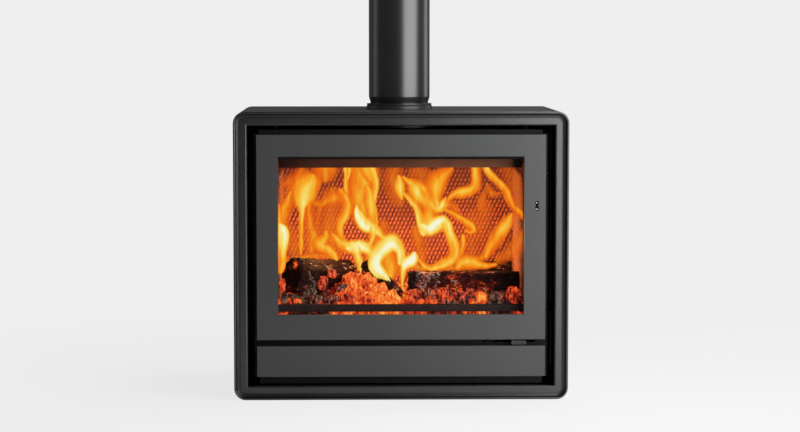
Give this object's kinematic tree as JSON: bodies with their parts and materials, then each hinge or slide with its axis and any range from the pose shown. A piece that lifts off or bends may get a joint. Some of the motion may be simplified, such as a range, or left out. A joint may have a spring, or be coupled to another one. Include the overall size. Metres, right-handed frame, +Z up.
{
  "type": "freestanding wood-burning stove",
  "caption": "Wide freestanding wood stove: cast surround, glazed side-hung door over an ash drawer, sliding air control and a round top flue.",
  "frame": {"origin": "on the floor below the middle of the casing", "axes": "+X to the viewer's right when facing the door, +Y towards the back, +Z up"},
  "size_m": [0.8, 0.45, 1.204],
  "materials": {
    "back_lining": "matte",
    "black_steel": "matte",
    "bright_steel": "satin",
    "casing_paint": "satin",
    "cast_collar": "matte",
    "cast_grate": "matte",
    "cast_surround": "matte",
    "ceramic_glass": "gloss",
    "charred_wood": "matte",
    "door_paint": "satin",
    "embers": "matte",
    "fire_brick": "matte",
    "flue_enamel": "satin",
    "galvanised_sheet": "satin",
    "hot_steel": "matte",
    "knob_steel": "satin",
    "seal_rope": "matte",
    "zinc_screws": "satin"
  },
  "bodies": {
    "stove": {"casing_wrap": "casing_paint", "front_surround": "cast_surround", "back_panel": "casing_paint", "casing_brackets": "black_steel", "casing_screws": "zinc_screws", "base_rails": "black_steel", "firebox_front": "black_steel", "firebox_left": "black_steel", "firebox_right": "black_steel", "firebox_back": "black_steel", "firebox_roof": "black_steel", "firebox_floor": "black_steel", "roof_heat_shield": "galvanised_sheet", "rear_heat_shield": "galvanised_sheet", "shield_spacers": "black_steel", "hearth_plate": "black_steel", "hearth_bricks": "fire_brick", "grate": "cast_grate", "left_brick": "fire_brick", "right_brick": "fire_brick", "back_brick": "back_lining", "lower_baffle": "fire_brick", "upper_baffle": "black_steel", "baffle_rails": "black_steel", "airwash_duct": "hot_steel", "airwash_strip": "hot_steel", "air_risers": "black_steel", "log_bar": "cast_grate", "log_bar_cups": "cast_grate", "air_box": "black_steel", "slide_guides": "black_steel", "outside_air_spigot": "galvanised_sheet", "spigot_screws": "zinc_screws", "flue_collar": "cast_collar", "collar_bolts": "zinc_screws", "flue_pipe": "flue_enamel", "drawer_runners": "black_steel", "hinge_lugs": "black_steel", "hinge_pins": "bright_steel", "latch_keeper": "bright_steel", "ember_bed": "embers", "logs": "charred_wood"},
    "door": {"door_frame": "door_paint", "door_glass": "ceramic_glass", "glass_seal": "seal_rope", "glass_clips": "bright_steel", "clip_screws": "zinc_screws", "door_seal": "seal_rope", "hinge_barrels": "bright_steel", "latch_bush": "bright_steel"},
    "latch": {"latch_spindle": "bright_steel", "latch_cam": "bright_steel", "latch_nut": "bright_steel"},
    "air_slide": {"air_slide_plate": "bright_steel", "air_lever": "bright_steel", "air_knob": "knob_steel"},
    "ash_drawer": {"lower_panel": "door_paint", "ash_pan": "black_steel", "panel_screws": "zinc_screws"}
  },
  "joints": [
    {"name": "door_hinge", "type": "hinge", "parent": "stove", "child": "door", "pos_m": [-0.333, -0.202, 0.3895], "axis": [0, 0, -1], "range_deg": [0, 110]},
    {"name": "latch_turn", "type": "hinge", "parent": "door", "child": "latch", "pos_m": [0.324, -0.2, 0.457], "axis": [0, 1, 0], "range_deg": [0, 90]},
    {"name": "air_slide_travel", "type": "slide", "parent": "stove", "child": "air_slide", "axis": [1, 0, 0], "range_m": [-0.08, 0.036]},
    {"name": "ash_drawer_slide", "type": "slide", "parent": "stove", "child": "ash_drawer", "axis": [0, -1, 0], "range_m": [0, 0.28]}
  ]
}
